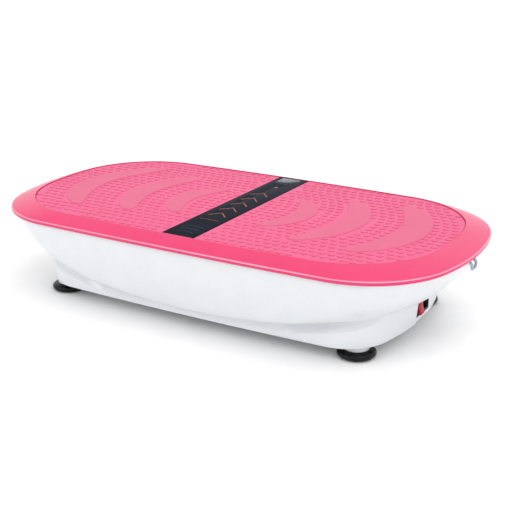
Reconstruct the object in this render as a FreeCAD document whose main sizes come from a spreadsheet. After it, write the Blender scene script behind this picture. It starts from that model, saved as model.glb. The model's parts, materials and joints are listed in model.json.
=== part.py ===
import FreeCAD, Part

import math
import os
import re

import Sketcher
from FreeCAD import Placement, Rotation, Vector

# Slim see-saw vibration plate. Millimetres, +X along the plate, -Y the front side, +Z up.
# The origin is on the floor, under the middle of the plate.
# The deck tilts about a cross axis over the tub; a belt-driven crank with two short rods rocks it.

DIMENSIONS = (
    # alias, value, what it is
    ("plate_length", 670.0, "deck rim, whole length"),
    ("plate_width", 343.2, "deck rim, whole width"),
    ("plate_end_radius", 325.0, "deck rim, end arcs"),
    ("plate_side_radius", 8550.0, "deck rim, long side arcs"),
    ("plate_corner_radius", 121.0, "deck rim, corner arcs"),
    ("mat_length", 604.0, "foot mats, whole length"),
    ("mat_width", 302.4, "foot mats, whole width"),
    ("mat_end_radius", 391.0, "foot mats, end arcs"),
    ("mat_side_radius", 4635.0, "foot mats, long side arcs"),
    ("mat_corner_radius", 118.5, "foot mats, corner arcs"),
    ("skirt_z", 115.7, "lower edge of the deck rim"),
    ("lip_z", 120.8, "top of the rim's upright lip"),
    ("deck_top_z", 131.3, "standing surface"),
    ("mat_thick", 3.0, "foot mat"),
    ("mat_gap", 0.5, "gap round the foot mats"),
    ("ring_width", 1.6, "flat land round the mat recess"),
    ("roof_thick", 2.6, "cover under the mats"),
    ("cover_wall", 2.6, "cover skirt"),
    ("strip_width", 46.4, "display strip across the deck"),
    ("strip_gap", 0.2, "gap between strip and mats"),
    ("screen_x", -1.0, "display window centre"),
    ("screen_y", 132.0, "display window centre"),
    ("screen_length", 30.0, "display window along X"),
    ("screen_width", 28.4, "display window along Y"),
    ("glass_thick", 1.5, "display window"),
    ("module_height", 5.9, "display module under the window"),
    ("display_board_length", 44.0, "display's circuit board"),
    ("display_board_width", 34.0, "display's circuit board"),
    ("remote_y", 97.0, "remote control lens"),
    ("remote_radius", 3.0, "remote control lens"),
    ("tub_top_z", 114.9, "upper edge of the tub"),
    ("tub_wall", 3.0, "tub wall"),
    ("bowl_low_z", 28.0, "bowl outline, lowest level"),
    ("bowl_low_length", 472.0, "bowl outline, lowest level"),
    ("bowl_low_width", 282.0, "bowl outline, lowest level"),
    ("bowl_mid_z", 56.0, "bowl outline, second level"),
    ("bowl_mid_length", 560.0, "bowl outline, second level"),
    ("bowl_mid_width", 303.0, "bowl outline, second level"),
    ("bowl_high_z", 84.0, "bowl outline, third level"),
    ("bowl_high_length", 622.0, "bowl outline, third level"),
    ("bowl_high_width", 321.0, "bowl outline, third level"),
    ("bowl_top_length", 661.2, "bowl outline at the upper edge"),
    ("bowl_top_width", 335.2, "bowl outline at the upper edge"),
    ("bowl_corner_radius", 117.0, "bowl, corner arcs"),
    ("crease_low_z", 29.0, "crease under the bowl at mid length"),
    ("crease_end_z", 60.0, "crease under the bowl at the ends"),
    ("crease_half", 248.0, "half the crease's curved length"),
    ("foot_base_z", 16.0, "lower edge of the pedestal"),
    ("pedestal_length", 529.0, "pedestal at its lower edge"),
    ("pedestal_width", 266.6, "pedestal at its lower edge"),
    ("pedestal_top_z", 75.0, "pedestal, upper level inside the bowl"),
    ("pedestal_top_length", 541.0, "pedestal, upper level"),
    ("pedestal_top_width", 273.0, "pedestal, upper level"),
    ("pedestal_end_radius", 345.0, "pedestal, end arcs"),
    ("pedestal_side_radius", 5200.0, "pedestal, long side arcs"),
    ("pedestal_corner_radius", 61.0, "pedestal, corner arcs"),
    ("recess_x", 262.0, "floor of the inlet recess in the end wall"),
    ("recess_low_y", -12.0, "inlet recess, front side"),
    ("recess_high_y", 70.0, "inlet recess, rear side"),
    ("recess_top_z", 57.0, "inlet recess, upper edge"),
    ("base_thick", 3.0, "base cover"),
    ("chassis_z", 20.0, "underside of the steel chassis plate"),
    ("chassis_thick", 3.0, "steel chassis plate"),
    ("chassis_inset", 5.0, "chassis plate inside the pedestal outline"),
    ("foot_x", 225.0, "foot centre"),
    ("foot_y", 100.0, "foot centre"),
    ("foot_radius", 24.5, "suction foot"),
    ("foot_ring_radius", 18.5, "suction foot's ring on the floor"),
    ("foot_height", 10.5, "suction foot"),
    ("collar_radius", 16.0, "collar over a foot"),
    ("stud_radius", 4.0, "foot stud"),
    ("stud_top_z", 30.0, "foot stud's top"),
    ("boss_radius", 5.2, "screw boss in the tub"),
    ("boss_top_z", 46.0, "screw boss in the tub"),
    ("boss_roof", 5.0, "closed top of a screw boss"),
    ("screw_radius", 1.6, "base screw"),
    ("screw_length", 22.0, "base screw under its head"),
    ("side_boss_x", 180.0, "outer screw bosses"),
    ("side_boss_y", 122.6, "outer screw bosses"),
    ("mid_boss_y", 125.6, "middle screw bosses"),
    ("tilt_z", 106.0, "deck's tilt axis"),
    ("deck_plate_length", 520.0, "steel deck plate"),
    ("deck_plate_width", 222.0, "steel deck plate"),
    ("deck_plate_thick", 2.5, "steel deck plate"),
    ("deck_screw_radius", 2.0, "countersunk deck screw"),
    ("rail_y", 95.0, "deck rail centre line"),
    ("rail_length", 500.0, "deck rail"),
    ("rail_width", 30.0, "deck rail"),
    ("rail_height", 27.5, "deck rail"),
    ("rail_wall", 2.5, "deck rail"),
    ("post_width", 22.0, "pivot post along Y"),
    ("post_length", 24.0, "pivot post along X"),
    ("pin_radius", 5.0, "pivot and rod pins"),
    ("pin_length", 34.0, "pivot and rod pins"),
    ("pin_head", 2.5, "pin head, its thickness and overhang"),
    ("pin_clip", 1.2, "spring clip on a pin's inner end"),
    ("bush_radius", 8.0, "bushes round the pins"),
    ("running_gap", 0.05, "radial clearance of a running fit"),
    ("crank_x", 130.0, "crank shaft axis"),
    ("crank_z", 60.0, "crank shaft axis"),
    ("crank_throw", 1.13, "eccentric throw"),
    ("crank_radius", 8.5, "crank shaft"),
    ("eccentric_radius", 10.0, "eccentric on the crank shaft"),
    ("rod_thick", 16.0, "connecting rod along Y"),
    ("rod_big_radius", 19.0, "connecting rod's lower eye"),
    ("rod_bearing_radius", 13.0, "needle bearing in the lower eye"),
    ("rod_small_radius", 11.5, "connecting rod's upper eye"),
    ("block_y", 60.0, "crank bearing block centre"),
    ("block_thick", 16.0, "crank bearing block along Y"),
    ("block_length", 46.0, "crank bearing block along X"),
    ("block_top_z", 84.0, "crank bearing block"),
    ("bearing_radius", 17.5, "crank ball bearing"),
    ("bearing_width", 10.0, "crank ball bearing"),
    ("belt_y", 25.0, "belt plane"),
    ("belt_width", 10.0, "drive belt"),
    ("belt_thick", 2.5, "drive belt"),
    ("belt_gap", 0.3, "belt above the pulley rims"),
    ("driven_radius", 32.0, "driven pulley rim"),
    ("drive_radius", 12.0, "motor pulley rim"),
    ("pulley_width", 10.6, "pulley rim between its flanges"),
    ("flange_height", 4.0, "pulley flange above its rim"),
    ("flange_thick", 1.6, "pulley flange"),
    ("motor_x", -130.0, "motor axis"),
    ("motor_z", 62.0, "motor axis"),
    ("motor_y", -32.0, "middle of the motor can"),
    ("motor_radius", 38.0, "motor can"),
    ("motor_length", 80.0, "motor can"),
    ("motor_wall", 2.5, "motor can"),
    ("bell_rim", 5.0, "motor end bell, straight rim"),
    ("bell_depth", 8.0, "motor end bell"),
    ("bell_nose_radius", 12.0, "motor end bell, bearing nose"),
    ("bell_nose", 9.5, "motor end bell with its nose"),
    ("motor_shaft_radius", 5.0, "motor shaft"),
    ("motor_shaft_length", 142.0, "motor shaft"),
    ("fan_gap", 20.0, "fan's middle plane behind the motor can"),
    ("fan_hub_radius", 9.0, "fan hub"),
    ("fan_hub_length", 10.0, "fan hub"),
    ("blade_length", 22.0, "fan blade"),
    ("blade_width", 9.0, "fan blade along Y"),
    ("blade_thick", 1.6, "fan blade"),
    ("armature_radius", 29.0, "motor armature"),
    ("armature_length", 56.0, "motor armature"),
    ("board_z", 30.0, "control board"),
    ("board_x", -6.0, "control board centre"),
    ("board_y", -53.0, "control board centre"),
    ("board_length", 124.0, "control board"),
    ("board_width", 62.0, "control board"),
    ("board_thick", 1.6, "circuit boards"),
    ("capacitor_radius", 8.0, "board capacitor"),
    ("capacitor_height", 26.0, "board capacitor"),
    ("fuse_radius", 2.5, "glass fuse on the board"),
    ("fuse_length", 20.0, "glass fuse on the board"),
    ("socket_y", 11.3, "power inlet centre"),
    ("socket_z", 35.7, "power inlet centre"),
    ("socket_length", 38.0, "power inlet flange along Y"),
    ("socket_height", 23.7, "power inlet flange along Z"),
    ("socket_flange", 2.4, "power inlet flange"),
    ("socket_rim", 0.8, "flange beyond the inlet body, all round"),
    ("socket_depth", 30.0, "power inlet body behind its flange"),
    ("rocker_y", -10.9, "rocker centre, from the inlet centre"),
    ("rocker_length", 20.0, "rocker along Z"),
    ("rocker_width", 13.0, "rocker along Y"),
    ("rocker_depth", 0.8, "rocker's axle behind the recess floor"),
    ("rocker_tilt", 8.0, "rocker's tilt at rest, in degrees"),
    ("axle_radius", 1.4, "rocker axle"),
    ("axle_length", 14.0, "rocker axle"),
    ("plug_y", 7.3, "plug cavity centre, from the inlet centre"),
    ("plug_width", 20.0, "plug cavity along Y"),
    ("plug_height", 17.0, "plug cavity along Z"),
    ("wire_size", 2.4, "insulated leads"),
    ("loop_z", 109.0, "band loop's legs"),
    ("loop_drop_z", 100.2, "band loop's lowest centre line"),
    ("loop_x", 331.0, "band loop's hanging part"),
    ("loop_half", 7.2, "half the band loop's width, centre lines"),
    ("loop_radius", 1.9, "band loop wire"),
)

doc = FreeCAD.newDocument("VibrationPlate")
sheet = doc.addObject("Spreadsheet::Sheet", "Dims")
size = {}
for row, (alias, value, note) in enumerate(DIMENSIONS, start=1):
    sheet.set(f"A{row}", note)
    sheet.set(f"B{row}", str(value))
    sheet.setAlias(f"B{row}", alias)
    size[alias] = value
doc.recompute()

ALONG_X = Rotation(Vector(0, 1, 0), 90)
ALONG_Y = Rotation(Vector(1, 0, 0), -90)
ALONG_Z = Rotation()
TURN = {"x": ALONG_X, "y": ALONG_Y, "z": ALONG_Z}
SIDES = {"front": -1, "rear": 1}
ENDS = {"left": -1, "right": 1}
WORD = re.compile(r"[a-z][a-z_]*")
DECK_SCREW_X = (-225, -110, 110, 225)
DECK_SCREW_Y = (-62, 62)
FAN_BLADES = 8
PIN_PLACES = ((-7, -1.5), (0, 2.5), (7, -1.5))  # inlet pins along Y and Z, from the plug cavity's centre

parts = []


# ---- formulas and placing ----

def linked(formula):
    """A formula with every alias turned into a reference to the sheet."""
    return WORD.sub(lambda word: "Dims." * (word.group() in size) + word.group(), str(formula))


def bind(thing, **formulas):
    for name, formula in formulas.items():
        thing.setExpression(name, linked(formula))
    return thing


def place(thing, x, y, z, turn=ALONG_Z):
    thing.Placement = Placement(Vector(), turn)
    for axis, formula in zip("xyz", (x, y, z)):
        thing.setExpression(f"Placement.Base.{axis}", linked(formula))
    return thing


def keep(thing, label):
    """Names a finished sub-part and puts it on the list of files."""
    thing.Label = label
    parts.append(thing)
    return thing


# ---- primitives and booleans ----

def block(length, width, height, x=0, y=0, z=0):
    """A box centred on x and y that stands on z."""
    made = bind(doc.addObject("Part::Box", "Block"), Length=length, Width=width, Height=height)
    return place(made, f"{x} - ({length}) / 2", f"{y} - ({width}) / 2", z)


def cylinder(radius, length, axis, x=0, y=0, z=0):
    """A cylinder centred on x, y, z, lying along one axis."""
    made = bind(doc.addObject("Part::Cylinder", "Round"), Radius=radius, Height=length)
    low = {name: f"{at}" for name, at in zip("xyz", (x, y, z))}
    low[axis] = f"{low[axis]} - ({length}) / 2"
    return place(made, low["x"], low["y"], low["z"], TURN[axis])


def fused(*pieces):
    made = doc.addObject("Part::MultiFuse", "Fused")
    made.Shapes = list(pieces)
    return made


def cut(base, *tools):
    made = doc.addObject("Part::Cut", "Cut")
    made.Base = base
    made.Tool = tools[0] if len(tools) == 1 else fused(*tools)
    return made


def common(first, second):
    made = doc.addObject("Part::Common", "Common")
    made.Base = first
    made.Tool = second
    return made


def group(pieces):
    made = doc.addObject("Part::Compound", "Group")
    made.Links = list(pieces)
    return made


def ring(outer, inner, length, axis, x=0, y=0, z=0):
    longer = f"({length}) * 2"
    return cut(cylinder(outer, length, axis, x, y, z), cylinder(inner, longer, axis, x, y, z))


# ---- sketches ----

def new_body(label):
    body = doc.addObject("PartDesign::Body", "Body")
    body.Label = label
    return body


def new_sketch(body, role, lift=0):
    """A sketch on one of the body's own origin planes, lifted along that plane's normal."""
    made = body.newObject("Sketcher::SketchObject", "Sketch")
    support = [item for item in body.Origin.OriginFeatures if item.Role == role][0]
    made.AttachmentSupport = [(support, "")]
    made.MapMode = "FlatFace"
    made.setExpression("AttachmentOffset.Base.z", linked(lift))
    return made


def measure(sketch, constraint, formula):
    index = sketch.addConstraint(constraint)
    sketch.setExpression(f"Constraints[{index}]", linked(formula))


def pin_point(sketch, item, point, u, v, start):
    """Fixes a sketch point at u, v; start is where it is now."""
    for kind, formula, axis, now in (("DistanceX", u, -2, start.x), ("DistanceY", v, -1, start.y)):
        if str(formula) == "0":
            sketch.addConstraint(Sketcher.Constraint("PointOnObject", item, point, axis))
        else:
            measure(sketch, Sketcher.Constraint(kind, -1, 1, item, point, now), formula)


def polygon(sketch, corners):
    """A closed polygon whose corners are pairs of formulas."""
    first = sketch.GeometryCount
    count = len(corners)
    rough = [Vector(50 * math.cos(6.2832 * (i + 0.3) / count), 50 * math.sin(6.2832 * (i + 0.3) / count), 0)
             for i in range(count)]
    for i in range(count):
        sketch.addGeometry(Part.LineSegment(rough[i], rough[(i + 1) % count]), False)
    for i in range(count):
        sketch.addConstraint(Sketcher.Constraint("Coincident", first + i, 2, first + (i + 1) % count, 1))
    for i, (u, v) in enumerate(corners):
        pin_point(sketch, first + i, 1, u, v, rough[i])


def rectangle(sketch, length, width, u=0, v=0):
    west, east = f"{u} - ({length}) / 2", f"{u} + ({length}) / 2"
    south, north = f"{v} - ({width}) / 2", f"{v} + ({width}) / 2"
    polygon(sketch, ((west, south), (east, south), (east, north), (west, north)))


def circle(sketch, radius, u=0, v=0):
    start = Vector(1, 1, 0)
    item = sketch.addGeometry(Part.Circle(start, Vector(0, 0, 1), 2.0), False)
    pin_point(sketch, item, 3, u, v, start)
    measure(sketch, Sketcher.Constraint("Radius", item, 2.0), radius)


def oval(sketch, name, inset=0, length=None, width=None, corner=None):
    """The plate's outline: side, end and corner arcs, all tangent, moved in by inset."""
    length = length or f"{name}_length"
    width = width or f"{name}_width"
    corner = corner or f"{name}_corner_radius"
    gap = size.get(inset, inset)
    end_r = size[f"{name}_end_radius"] - gap
    side_r = size[f"{name}_side_radius"] - gap
    corner_r = size[corner] - gap
    end_c = Vector(size[length] / 2 - gap - end_r, 0, 0)
    side_c = Vector(0, size[width] / 2 - gap - side_r, 0)
    # the corner's centre is where its distances to the end's and the side's centres both fit
    between = side_c - end_c
    near = end_r - corner_r
    along = (near ** 2 - (side_r - corner_r) ** 2 + between.Length ** 2) / (2 * between.Length)
    unit = between / between.Length
    corner_c = end_c + unit * along + Vector(-unit.y, unit.x, 0) * math.sqrt(near ** 2 - along ** 2)
    if corner_c.x < end_c.x:
        corner_c = end_c + unit * along - Vector(-unit.y, unit.x, 0) * math.sqrt(near ** 2 - along ** 2)
    low = math.atan2(corner_c.y, corner_c.x - end_c.x)
    high = math.atan2(corner_c.y - side_c.y, corner_c.x)
    turns = (-low, low, high, math.pi - high, math.pi - low, math.pi + low, math.pi + high,
             2 * math.pi - high, 2 * math.pi - low)
    centres = (end_c, corner_c, side_c, Vector(-corner_c.x, corner_c.y, 0), -end_c,
               -corner_c, -side_c, Vector(corner_c.x, -corner_c.y, 0))
    radii = (end_r, corner_r, side_r, corner_r) * 2
    formulas = (f"{name}_end_radius - {inset}", f"{corner} - {inset}",
                f"{name}_side_radius - {inset}", f"{corner} - {inset}") * 2
    for i, (centre, radius) in enumerate(zip(centres, radii)):
        ground = Part.Circle(centre, Vector(0, 0, 1), radius)
        sketch.addGeometry(Part.ArcOfCircle(ground, turns[i], turns[i + 1]), False)
    for i in range(8):
        sketch.addConstraint(Sketcher.Constraint("Tangent", i, 2, (i + 1) % 8, 1))
    for i, (radius, formula) in enumerate(zip(radii, formulas)):
        measure(sketch, Sketcher.Constraint("Radius", i, radius), formula)
    end_at = f"{length} / 2 - {name}_end_radius"
    side_at = f"{width} / 2 - {name}_side_radius"
    pin_point(sketch, 0, 3, end_at, 0, end_c)
    pin_point(sketch, 4, 3, f"-({end_at})", 0, -end_c)
    pin_point(sketch, 2, 3, 0, side_at, side_c)
    pin_point(sketch, 6, 3, 0, f"-({side_at})", -side_c)


# ---- features ----

def pad(body, sketch, length, centred=False):
    made = bind(body.newObject("PartDesign::Pad", "Pad"), Length=length)
    made.Profile = sketch
    made.Midplane = centred
    return made


def pocket(body, sketch, depth, downwards=True):
    """Cuts along the sketch's normal, or against it when downwards."""
    made = bind(body.newObject("PartDesign::Pocket", "Pocket"), Length=depth)
    made.Profile = sketch
    made.Reversed = not downwards
    return made


def loft(body, kind, sketches, ruled=False):
    made = body.newObject(f"PartDesign::{kind}", "Loft")
    made.Profile = sketches[0]
    made.Sections = sketches[1:]
    made.Ruled = ruled
    return made


def turned(label, corners, axis="z", x=0, y=0, z=0):
    """A solid of revolution from a half profile of radius and height, moved to x, y, z."""
    body = new_body(label)
    sketch = new_sketch(body, "XZ_Plane")
    polygon(sketch, corners)
    made = body.newObject("PartDesign::Revolution", "Revolution")
    made.Profile = sketch
    made.ReferenceAxis = (sketch, ["V_Axis"])
    made.Angle = 360.0
    return place(body, x, y, z, TURN[axis])


def tube_along(points, diameter):
    """A round tube along straight runs joined by tangent arcs."""
    runs = [(b - a).Length for a, b in zip(points, points[1:])]
    edges, last = [], points[0]
    for i in range(1, len(points) - 1):
        back = (points[i - 1] - points[i]).normalize()
        ahead = (points[i + 1] - points[i]).normalize()
        half_turn = (math.pi - back.getAngle(ahead)) / 2
        reach = 0.45 * min(runs[i - 1], runs[i])
        radius = reach / math.tan(half_turn)
        start, end = points[i] + back * reach, points[i] + ahead * reach
        to_centre = (back + ahead).normalize()
        middle = points[i] + to_centre * (radius / math.cos(half_turn) - radius)
        edges.append(Part.LineSegment(last, start).toShape())
        edges.append(Part.Arc(start, middle, end).toShape())
        last = end
    edges.append(Part.LineSegment(last, points[-1]).toShape())
    path = Part.Wire(edges)
    section = Part.Wire(Part.makeCircle(diameter / 2, points[0], points[1] - points[0]))
    solid = path.makePipeShell([section], True, True)
    expected = math.pi * diameter ** 2 / 4 * path.Length
    if abs(solid.Volume - expected) > 0.01 * expected:
        raise RuntimeError("a tube's volume is not its section times its length")
    return solid


# ---- the deck ----

def deck_cover():
    """Plastic top cover: upright lip, sloping shoulder, recess for the mats, hollow below."""
    body = new_body("deck_cover_form")
    lip = new_sketch(body, "XY_Plane", "skirt_z")
    oval(lip, "plate")
    pad(body, lip, "lip_z - skirt_z")
    low, high = new_sketch(body, "XY_Plane", "lip_z"), new_sketch(body, "XY_Plane", "deck_top_z")
    oval(low, "plate")
    oval(high, "mat", inset=-size["ring_width"])
    loft(body, "AdditiveLoft", [low, high], ruled=True)
    hollow = new_sketch(body, "XY_Plane", "skirt_z")
    oval(hollow, "plate", inset="cover_wall")
    pocket(body, hollow, "cover_wall", downwards=False)
    low = new_sketch(body, "XY_Plane", "skirt_z + cover_wall")
    high = new_sketch(body, "XY_Plane", "deck_top_z - mat_thick - roof_thick")
    oval(low, "plate", inset="cover_wall")
    oval(high, "mat", inset=2 * size["ring_width"])
    loft(body, "SubtractiveLoft", [low, high], ruled=True)
    recess = new_sketch(body, "XY_Plane", "deck_top_z")
    oval(recess, "mat", inset=-size["mat_gap"])
    pocket(body, recess, "mat_thick")
    depth = "mat_thick + roof_thick * 2"
    window = block("screen_length + 4", "screen_width + 4", depth, "screen_x", "screen_y",
                   f"deck_top_z - ({depth})")
    lens = cylinder("remote_radius - 0.6", 12, "z", 0, "remote_y", "deck_top_z - mat_thick")
    screws = [screw_shape(x, y) for x, y in deck_screw_places()]
    keep(cut(body, window, lens, *screws), "deck_cover")


def deck_screw_places():
    return [(x, y) for x in DECK_SCREW_X for y in DECK_SCREW_Y]


def screw_shape(x, y):
    """A countersunk screw hidden under a mat."""
    top = "deck_top_z - mat_thick"
    shank = cylinder("deck_screw_radius", "roof_thick + deck_plate_thick", "z", x, y,
                     f"{top} - (roof_thick + deck_plate_thick) / 2")
    head = bind(doc.addObject("Part::Cone", "Head"), Radius1="deck_screw_radius",
                Radius2="deck_screw_radius * 2", Height="deck_screw_radius")
    return fused(shank, place(head, x, y, f"{top} - deck_screw_radius"))


def mat_slice(label, west, east):
    """One piece of the inlaid surface, between two stations along X."""
    body = new_body(f"{label}_form")
    outline = new_sketch(body, "XY_Plane", "deck_top_z - mat_thick")
    oval(outline, "mat")
    pad(body, outline, "mat_thick")
    strip = block(f"({east}) - ({west})", "mat_width * 1.1", "mat_thick * 3",
                  f"(({east}) + ({west})) / 2", 0, "deck_top_z - mat_thick * 2")
    return common(body, strip)


def deck_surface():
    half = "strip_width / 2"
    keep(mat_slice("mat_left", "-mat_length", f"-{half} - strip_gap"), "mat_left")
    keep(mat_slice("mat_right", f"{half} + strip_gap", "mat_length"), "mat_right")
    strip = mat_slice("display_strip", f"-{half}", half)
    window = block("screen_length", "screen_width", 20, "screen_x", "screen_y", "deck_top_z - 10")
    lens = cylinder("remote_radius", 20, "z", 0, "remote_y", "deck_top_z")
    keep(cut(strip, window, lens), "display_strip")
    glass_z = "deck_top_z - glass_thick"
    pane = block("screen_length", "screen_width", "glass_thick", "screen_x", "screen_y", glass_z)
    keep(pane, "lcd_window")
    lens_body = cylinder("remote_radius", 1.5, "z", 0, "remote_y", "deck_top_z - 0.75")
    sensor = cylinder("remote_radius - 0.8", 4, "z", 0, "remote_y", "deck_top_z - 3.2")
    keep(fused(lens_body, sensor), "ir_lens")


def display_parts():
    x, y, low = "screen_x", "screen_y", "deck_top_z - glass_thick - module_height"
    keep(block("screen_length - 0.4", "screen_width - 0.4", "module_height", x, y, low), "lcd_module")
    board = block("display_board_length", "display_board_width", "board_thick", x, y,
                  f"{low} - board_thick")
    keep(board, "display_board")


def deck_structure():
    """Steel plate under the cover with two downward channels that carry the pins."""
    plate_z = "deck_top_z - mat_thick - roof_thick - deck_plate_thick"
    body = new_body("deck_plate_form")
    sketch = new_sketch(body, "XY_Plane", plate_z)
    rectangle(sketch, "deck_plate_length", "deck_plate_width")
    pad(body, sketch, "deck_plate_thick")
    holes = [cylinder("deck_screw_radius", 20, "z", x, y, plate_z) for x, y in deck_screw_places()]
    keep(cut(body, *holes), "deck_plate")
    keep(group([screw_shape(x, y) for x, y in deck_screw_places()]), "deck_screws")
    for side, sign in SIDES.items():
        y = f"{sign} * rail_y"
        low = f"{plate_z} - rail_height"
        outer = block("rail_length", "rail_width", "rail_height", 0, y, low)
        inner_width = "rail_width - rail_wall * 2"
        inner = block("rail_length + 2", inner_width, "rail_height", 0, y, f"{low} - rail_wall")
        pins = [cylinder("pin_radius", "rail_width * 2", "y", x, y, "tilt_z") for x in pin_places()]
        keep(cut(outer, inner, *pins), f"deck_rail_{side}")
    for label, x in zip(("pivot_pins", "rod_pins"), pin_places()):
        keep(group([headed_pin(x, sign) for sign in SIDES.values()]), label)


def pin_places():
    return (0, "crank_x + crank_throw")


def headed_pin(x, sign):
    y = f"{sign} * rail_y"
    head_y = f"{y} + {sign} * (rail_width + pin_head) / 2"
    clip_y = f"{y} - {sign} * (rail_width + pin_clip) / 2"
    head = cylinder("pin_radius + pin_head", "pin_head", "y", x, head_y, "tilt_z")
    clip = cylinder("pin_radius + 1.5", "pin_clip", "y", x, clip_y, "tilt_z")
    return fused(cylinder("pin_radius", "pin_length", "y", x, y, "tilt_z"), head, clip)


# ---- the tub ----

def bowl_form(inset, raised, top):
    """The flaring bowl above the curved crease; a raised, inset copy of it is the cavity."""
    body = new_body("bowl")
    levels = []
    for level in ("low", "mid", "high"):
        sketch = new_sketch(body, "XY_Plane", f"bowl_{level}_z")
        oval(sketch, "plate", inset, f"bowl_{level}_length", f"bowl_{level}_width", "bowl_corner_radius")
        levels.append(sketch)
    sketch = new_sketch(body, "XY_Plane", top)
    oval(sketch, "plate", inset, "bowl_top_length", "bowl_top_width", "bowl_corner_radius")
    loft(body, "AdditiveLoft", levels + [sketch])
    rise = "(crease_end_z - crease_low_z)"
    arch_radius = f"((crease_half * crease_half + {rise} * {rise}) / (2 * {rise}))"
    arch = cylinder(arch_radius, "plate_width * 1.2", "y", 0, 0, f"crease_low_z + {raised} + {arch_radius}")
    above = block("plate_length * 1.2", "plate_width * 1.2", "tub_top_z", 0, 0, f"crease_end_z + {raised}")
    return common(body, fused(arch, above))


def pedestal_form(inset, low, high):
    body = new_body("pedestal")
    bottom, top = new_sketch(body, "XY_Plane", low), new_sketch(body, "XY_Plane", high)
    oval(bottom, "pedestal", inset)
    oval(top, "pedestal", inset, "pedestal_top_length", "pedestal_top_width")
    loft(body, "AdditiveLoft", [bottom, top], ruled=True)
    return body


def boss_places():
    outer = [(f"{end} * side_boss_x", f"{side} * side_boss_y") for end in (-1, 1) for side in (-1, 1)]
    return outer + [(0, f"{side} * mid_boss_y") for side in (-1, 1)]


def recess_block(x, margin, height):
    """A block from x outwards, as wide as the inlet recess and a margin on either side."""
    reach = 40
    return block(reach, f"recess_high_y - recess_low_y + {margin} * 2", height, f"{x} + {reach / 2}",
                 "(recess_high_y + recess_low_y) / 2", 0)


def tub_shell():
    """White moulded tub: bowl and pedestal in one wall, with screw bosses and the inlet recess."""
    outer = fused(bowl_form(0, 0, "tub_top_z"), pedestal_form(0, "foot_base_z", "pedestal_top_z"))
    cavity = fused(bowl_form("tub_wall", "tub_wall", "tub_top_z + 1"),
                   pedestal_form("tub_wall", "foot_base_z - 1", "pedestal_top_z + 3"))
    panel = common(pedestal_form(0, "foot_base_z", "pedestal_top_z"),
                   recess_block("recess_x - tub_wall", "tub_wall", "recess_top_z + tub_wall"))
    recess = recess_block("recess_x", 0, "recess_top_z")
    low = "(chassis_z + chassis_thick)"
    bosses = [cylinder("boss_radius", f"boss_top_z - {low}", "z", x, y, f"(boss_top_z + {low}) / 2")
              for x, y in boss_places()]
    pilots = [cylinder("screw_radius", "(boss_top_z - boss_roof) * 2", "z", x, y, 0)
              for x, y in boss_places()]
    opening = block(60, "socket_length - socket_rim * 2", "socket_height - socket_rim * 2", "recess_x",
                    "socket_y", "socket_z - socket_height / 2 + socket_rim")
    legs = [cylinder("loop_radius", 30, "x", f"{end} * (loop_x - 5)", f"{leg} * loop_half", "loop_z")
            for end in (-1, 1) for leg in (-1, 1)]
    shell = cut(outer, cavity)
    keep(cut(fused(shell, panel, *bosses), recess, opening, *pilots, *legs), "tub_shell")


def base_cover():
    """Flat cover that closes the pedestal, with a boss over each foot."""
    body = new_body("base_cover_form")
    outline = new_sketch(body, "XY_Plane", "foot_base_z")
    oval(outline, "pedestal", size["tub_wall"] + 0.2)
    pad(body, outline, "base_thick")
    low = "foot_base_z + base_thick"
    bosses = [cylinder("stud_radius + 5", f"chassis_z - ({low})", "z", x, y, f"(chassis_z + {low}) / 2")
              for x, y in foot_places()]
    keep(cut(fused(body, *bosses), recess_room(), *floor_holes()), "base_cover")
    screws = []
    for x, y in boss_places():
        shank = cylinder("screw_radius", "screw_length", "z", x, y, "foot_base_z + screw_length / 2")
        screws.append(fused(shank, cylinder("screw_radius + 2", 2, "z", x, y, "foot_base_z - 1")))
    keep(group(screws), "base_screws")


def recess_room():
    """Room for the panel behind the inlet recess."""
    return recess_block("recess_x - tub_wall - 0.2", "(tub_wall + 0.2)", "chassis_z * 2")


def floor_holes():
    """Holes for the foot studs and the base screws."""
    studs = [cylinder("stud_radius", 60, "z", x, y, 0) for x, y in foot_places()]
    return studs + [cylinder("screw_radius", 60, "z", x, y, 0) for x, y in boss_places()]


def foot_places():
    return [(f"{end} * foot_x", f"{side} * foot_y") for end in (-1, 1) for side in (-1, 1)]


def feet():
    """Rubber suction feet under white collars, each on a steel stud."""
    profile = (("stud_radius", "2.6"), ("foot_ring_radius - 7", "2.2"), ("foot_ring_radius - 3.5", "0"),
               ("foot_ring_radius", "0"), ("foot_radius - 2.2", "1.5"), ("foot_radius", "4.5"),
               ("foot_radius - 0.9", "7.2"), ("foot_radius - 4", "9.4"),
               ("foot_radius - 7.5", "foot_height"), ("stud_radius", "foot_height"))
    for end, end_sign in ENDS.items():
        for side, side_sign in SIDES.items():
            puck = turned("foot", profile, "z", f"{end_sign} * foot_x", f"{side_sign} * foot_y", 0)
            keep(puck, f"foot_{side}_{end}")
    middle = "(foot_height + foot_base_z) / 2"
    keep(group([ring("collar_radius", "stud_radius", "foot_base_z - foot_height", "z", x, y, middle)
                for x, y in foot_places()]), "foot_collars")
    studs = []
    for x, y in foot_places():
        stud = cylinder("stud_radius", "stud_top_z - 3", "z", x, y, "(stud_top_z + 3) / 2")
        nut = cylinder("stud_radius + 3", 5, "z", x, y, "chassis_z + chassis_thick + 2.5")
        studs.append(fused(stud, nut))
    keep(group(studs), "foot_studs")


def chassis():
    body = new_body("chassis_plate_form")
    outline = new_sketch(body, "XY_Plane", "chassis_z")
    oval(outline, "pedestal", "chassis_inset")
    pad(body, outline, "chassis_thick")
    corners = [(f"board_x + {i} * (board_length / 2 - 5)", f"board_y + {j} * (board_width / 2 - 5)")
               for i in (-1, 1) for j in (-1, 1)]
    top = "(chassis_z + chassis_thick)"
    posts = [cylinder(3, f"board_z - {top}", "z", x, y, f"(board_z + {top}) / 2") for x, y in corners]
    keep(cut(fused(body, *posts), recess_room(), *floor_holes()), "chassis_plate")


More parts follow.
